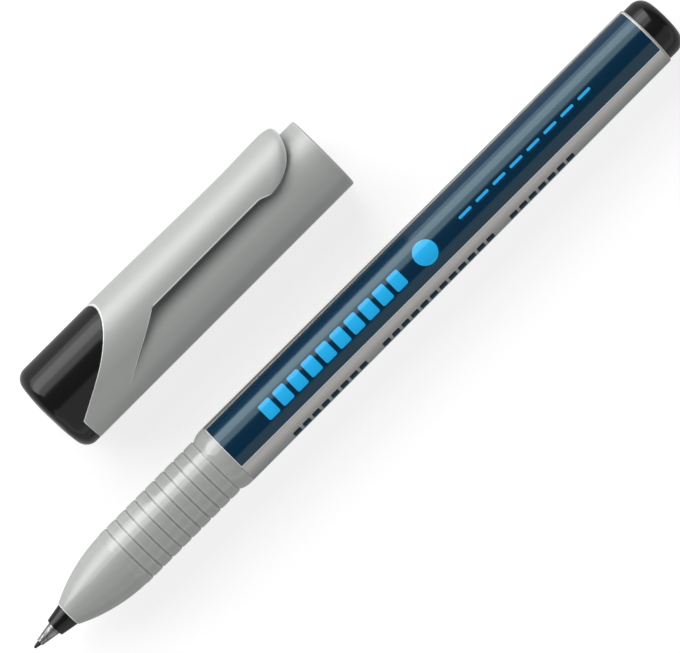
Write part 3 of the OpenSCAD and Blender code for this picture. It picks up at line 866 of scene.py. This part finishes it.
def inner_cap():
    """The cup inside the cap that seals on the nose."""
    flange_r, cup_r, mouth_r, room_r = 5.07, 4.784, 4.184, 3.216
    flange_len, cone_len, wall = 1.5, 3.2, 0.6
    flange_end_c, cone_c, floor_c = flange_c + flange_len, inner_mouth_c - cone_len, flange_c + wall
    chain = [(flange_c, 0, 0), (flange_c, flange_r, 0.1),
             (flange_end_c, flange_r, 0.1), (flange_end_c, cup_r, 0),
             (inner_mouth_c, cup_r, 0.15), (inner_mouth_c, mouth_r, 0.12),
             (cone_c, room_r, 0.3), (floor_c, room_r, 0.3), (floor_c, 0, 0)]
    outline = rounded(chain, closed=False)
    return lathe("inner_seal_cup", CAP, outline, natural_seal, closed=False)


# Band and clip: a grid of rows along the cap and columns round the band, where the reach of a
# column is its distance round the band from the crown

def band_rear(height):
    """Place of the band's sloping rear edge at a height."""
    return BAND_START_C + np.asarray(height, float) / math.tan(BAND_SLOPE)


def over_band(reach, radius=BAND_R):
    """(height, side) on the band's surface at a reach, for a round top of a radius."""
    angle = np.clip(np.abs(reach) / BAND_R, 0, np.pi / 2)
    below = np.maximum(np.abs(reach) - quarter_arc, 0)
    height = CLIP_OFFSET + radius * np.cos(angle) - below
    side = radius * np.sin(angle)
    flat = np.clip(below / CLIP_OFFSET, 0, 1)
    side = side - (BAND_R - CAP_R - BAND_STEP) * flat ** 2
    sunk = np.sqrt(np.maximum(CAP_R ** 2 - np.minimum(height, 0) ** 2, 0)) - CAP_R
    side = side + sunk - (BAND_STEP + BAND_SINK) * smooth(-height, 0, BAND_FADE)
    return height, np.sign(reach) * side


def reach_at(height):
    """Reach at which the band's round top has a height."""
    cosine = (np.asarray(height, float) - CLIP_OFFSET) / BAND_R
    return BAND_R * np.arccos(np.clip(cosine, -1, 1))


def quarter_round(share):
    """Drop of a quarter round, from 0 at its start to 1 at its end."""
    return 1 - np.sqrt(1 - np.clip(share, 0, 1) ** 2)


def rim_steps(length):
    """Shares along a length at which a rounded rim and its strip of painted highlight are drawn at its
    start.
    """
    return np.array((0, RIM_EASE * RIM_ROUND, RIM_ROUND, RIM_PALE, RIM_PALE + RIM_FADE)) / length


def highlight_strip(distance):
    """1 on the strip of painted highlight along a rim and 0 past it."""
    return np.where(distance < RIM_PALE + RIM_FADE / 2, 1.0, 0.0)


def clip_lift(place):
    """How far the arm stands off the band's surface: a slight dip and a flare at its end."""
    return FLARE * smooth(place, FLARE_C, FLARE_END_C) - DIP * smooth(place, DIP_C, FLARE_C)


def clip_end_line(share):
    """(reach, place) on the clip's rounded end, for shares from its left widest point to its right."""
    steps, wide_h = 240, EDGE_H - WIDE_DROP
    top = math.acos(1 - (CLIP_OFFSET + BAND_R - wide_h) / CLIP_END_R)
    angle = np.linspace(0, top, steps)
    reach = reach_at(np.minimum(wide_h + CLIP_END_R * (1 - np.cos(angle)), CLIP_OFFSET + BAND_R))
    place = WIDE_C + CLIP_END_R * np.sin(angle)
    length = np.concatenate([[0], np.cumsum(np.hypot(np.diff(reach), np.diff(place)))])
    at = (1 - np.abs(share)) * length[-1]
    return np.sign(share) * np.interp(at, length, reach), np.interp(at, length, place)


def arm_lines(share, edge):
    """(reach, place, share of the end's roll) along each row of the arm, from the band to its end."""
    straight_rows, end_rows = 26, 10
    roll_steps = np.array((0, 0.3, 0.55, 0.75, 0.88, 0.96, 1))
    start = band_rear(over_band(share * edge)[0])
    lines = []
    for t in np.linspace(0, 1, straight_rows, endpoint=False):
        lines.append((share * edge, start + t * (STRAIGHT_C - start), 0.0))
    end_reach, end_place = clip_end_line(share)
    wide = float(reach_at(EDGE_H - WIDE_DROP))
    steps = np.concatenate([np.linspace(0, 1 - ROLL_SHARE, end_rows, endpoint=False),
                            1 - ROLL_SHARE + ROLL_SHARE * roll_steps])
    for t in steps:
        side = float(reach_at(EDGE_H - WIDE_DROP * smooth(t, 0, 1)))
        bulge = side - ((1 - t) * edge + t * wide)
        reach = (1 - t) * share * edge + t * end_reach + share * bulge
        lines.append((reach, (1 - t) * STRAIGHT_C + t * end_place, max(0.0, 1 - (1 - t) / ROLL_SHARE)))
    return lines


def band_rows(reach, edge):
    """Rows of the band from its front edge to its rear one.

    Each holds place, height and side of the outside, the same of the inside, and the share of painted
    highlight.
    """
    inner_rows, fade, front_highlight = 13, 0.3, 0.75
    height, side = over_band(reach)
    around = np.arctan2(side, height)
    deep_h, deep_w = BAND_DEEP_R * np.cos(around), BAND_DEEP_R * np.sin(around)
    front, deep_front = seam(height, side), seam(deep_h, deep_w)
    beside_arm = smooth(np.abs(reach), edge, edge + fade)
    length = BAND_START_C - seam_c
    rim = rim_steps(length)
    steps = np.concatenate([rim, np.linspace(0, 1, inner_rows + 2)[1:-1], 1 - rim[::-1]])
    rows = []
    for k, t in enumerate(steps):
        from_front, from_rear = t * length, (1 - t) * length
        to_rear = (1 - from_rear / RIM_ROUND) * beside_arm
        to_edge = np.maximum(1 - from_front / RIM_ROUND, to_rear)
        up, sideways = over_band(reach, BAND_R - RIM_ROUND * quarter_round(to_edge))
        deep_t = min(1, k / (len(steps) - 2))
        deep_place = deep_front + deep_t * (band_rear(deep_h) - deep_front)
        # Painted highlight along the front rim, and along the rear rim beside the arm
        highlight_share = np.maximum(front_highlight * highlight_strip(from_front), highlight_strip(from_rear) * beside_arm)
        place = front + t * (band_rear(height) - front)
        rows.append((place, up, sideways, deep_place, deep_h, deep_w, highlight_share))
    return np.array(rows)


def arm_rows(share, edge):
    """Rows of the clip's arm from the band's rear edge to its end, with the same entries."""
    under_share, roll_side, highlight_start, highlight_end = 0.914, 0.35, 0.85, 0.97
    from_side = (1 - np.abs(share)) * edge
    side_drop = RIM_ROUND * quarter_round(1 - from_side / RIM_ROUND)
    roll_depth = np.maximum(END_ROLL * smooth(1 - np.abs(share), 0, roll_side), RIM_ROUND)
    rows = []
    for reach, place, rolled in arm_lines(share, edge):
        drop = np.maximum(side_drop, roll_depth * quarter_round(rolled))
        up, sideways = over_band(reach, BAND_R - drop)
        under = under_share * (reach / BAND_R)
        under_r = BAND_R - CLIP_T
        bead = BEAD_DEPTH * smooth(BEAD_HALF - np.abs(place - BEAD_C), 0, BEAD_HALF)
        under_r = under_r - bead * smooth(BEAD_W - np.abs(under_r * np.sin(under)), 0, BEAD_SIDE)
        under_h, under_w = CLIP_OFFSET + under_r * np.cos(under), under_r * np.sin(under)
        under_place = place if rows else band_rear(under_h)
        # Painted highlight along the arm's sides and on its rolled end
        highlight_share = np.maximum(highlight_strip(from_side), smooth(rolled, highlight_start, highlight_end))
        rows.append((place, up, sideways, under_place, under_h, under_w, highlight_share))
    return np.array(rows)


def band_and_clip():
    """The sloping band and the clip's arm in one skin; the band's inside is sunk in the tube."""
    arm_columns, inner_share, flank_columns = 39, 0.94, 18
    edge = float(reach_at(EDGE_H))
    rim = 1 - rim_steps(edge)
    share = np.concatenate([-rim, np.linspace(-inner_share, inner_share, arm_columns), rim[::-1]])
    flank = np.linspace(edge, quarter_arc + CLIP_OFFSET - BAND_LOW_H, flank_columns + 1)[1:]
    band = band_rows(np.concatenate([-flank[::-1], share * edge, flank]), edge)
    arm = arm_rows(share, edge)
    root = len(band) - 1
    first, last = flank_columns, flank_columns + len(share) - 1
    on_arm = slice(first, last + 1)
    grid = np.concatenate([band[:root], np.repeat(band[root:], len(arm), axis=0)])
    grid[root:, :, on_arm] = arm
    place, up, side, place_in, up_in, side_in, highlight_share = np.moveaxis(grid, 1, 0)
    lift = clip_lift(place)
    for heights, sides, start in ((up, side, 0), (up_in, side_in, root)):
        lifted = (slice(start, None), on_arm)
        away = np.arctan2(sides[lifted], heights[lifted] - CLIP_OFFSET)
        heights[lifted] += lift[lifted] * np.cos(away)
        sides[lifted] += lift[lifted] * np.sin(away)
    points = np.concatenate([CAP.points(place, up, side), CAP.points(place_in, up_in, side_in)])
    faces = skin_faces(*place.shape, lambda row, column: row < root or first <= column < last)
    # The inside gets no painted highlight
    highlight_share = np.concatenate([highlight_share, np.zeros_like(highlight_share)])
    return piece("band_and_clip", points, faces, band_satin, highlight_share)


# The pieces, what they stand for and what they move with

for made, node in ((barrel(), "barrel"), (label(), "label_sleeve"), (nib_holder(), "nib_holder"),
                   (nib_sleeve(), "nib_sleeve"), (fibre_nib(), "fibre_nib"), (end_plug(), "end_plug")):
    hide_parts(node)
    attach(made, "pen")
for made, node in ((cap_tube(), "cap_shell"), (end_insert(), "cap_end_insert"),
                   (inner_cap(), "inner_cap")):
    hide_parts(node)
    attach(made, "cap")

arm = band_and_clip()
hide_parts("clip")
bend = [tuple(CAP.points(place, 0.0, 0.0)) for place in (BEND_START_C, BEND_END_C)]
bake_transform(arm)

for node, finish in (("ink_reservoir", core_fibre), ("reservoir_film", film)):
    inside = frame["nodes"][node].data
    inside.materials.clear()
    inside.materials.append(finish)


# Floor, light and camera, in metres

FLOOR_HALF = 3.0
FLOOR_GREY, FLOOR_GLOW, GLOW_MIRRORED = 0.36, 0.76, 0.3
WORLD_LIGHT = 0.10

# Name, middle, width, height and radiance of each lamp
SOFTBOXES = (
    ("key_softbox", (-0.155, 0.5, 0.525), 0.96, 1.01, 2.3),
    ("key_core", (-0.155, 0.48, 0.31), 0.96, 0.31, 2.3),
    ("fill_softbox", (0.0, -0.5, 0.515), 3.2, 1.03, 0.64),
    ("low_fill", (0.0, -0.48, 0.09), 3.2, 0.18, 0.35),
)


def floor():
    """A pale floor that reads as white and keeps the shadows; reflections see a share of its glow."""
    mesh = bpy.data.meshes.new("floor")
    corners = [(FLOOR_HALF * x, FLOOR_HALF * y, 0) for x, y in ((-1, -1), (1, -1), (1, 1), (-1, 1))]
    mesh.from_pydata(corners, [], [(0, 1, 2, 3)])
    made = bpy.data.objects.new("floor", mesh)
    bpy.context.collection.objects.link(made)
    finish = Finish("floor_paper")
    paper = finish.node("ShaderNodeBsdfDiffuse", {"Color": (FLOOR_GREY, FLOOR_GREY, FLOOR_GREY, 1)})
    glow = finish.node("ShaderNodeEmission", {"Color": (1, 1, 1, 1), "Strength": FLOOR_GLOW})
    bright = finish.node("ShaderNodeAddShader", [paper, glow])
    direct, mirrored, through = (finish.node("ShaderNodeLightPath", out=f"Is {kind} Ray")
                                 for kind in ("Camera", "Glossy", "Transmission"))
    seen = direct.at_least(GLOW_MIRRORED * mirrored.at_least(through))
    mesh.materials.append(finish.ends_in(finish.node("ShaderNodeMixShader", [seen, paper, bright])))


def softbox(name, centre, width, height, radiance):
    """An upright rectangular lamp of an even radiance that faces the pen along Y."""
    lamp = bpy.data.lights.new(name, "AREA")
    lamp.shape = "RECTANGLE"
    lamp.size, lamp.size_y = width, height
    lamp.energy = radiance * math.pi * width * height
    made = bpy.data.objects.new(name, lamp)
    made.location = centre
    made.rotation_euler = (math.pi + math.copysign(math.pi / 2, centre[1]), 0, 0)
    bpy.context.collection.objects.link(made)


def lights():
    """A faint even world and the softboxes on both sides of the pen."""
    world = bpy.data.worlds.new("studio")
    world.use_nodes = True
    background = world.node_tree.nodes["Background"].inputs
    background["Color"].default_value = (1, 1, 1, 1)
    background["Strength"].default_value = WORLD_LIGHT
    bpy.context.scene.world = world
    for lamp in SOFTBOXES:
        softbox(*lamp)


def camera():
    """Looks straight down, square to the pen, with the pen rising to the right."""
    lens, sensor, distance, roll = 242.9, 36.0, 0.66, -45.03
    along, beside = 63.27, 1.57
    view = bpy.data.cameras.new("camera")
    view.lens, view.sensor_width = lens, sensor
    made = bpy.data.objects.new("camera", view)
    aim = PEN.points(along, 0.0, beside)
    made.location = (aim[0], aim[1], distance)
    made.rotation_euler = (0, 0, math.radians(roll))
    bpy.context.collection.objects.link(made)
    bpy.context.scene.camera = made


floor()
lights()
camera()
bpy.context.scene.view_settings.view_transform = "Standard"
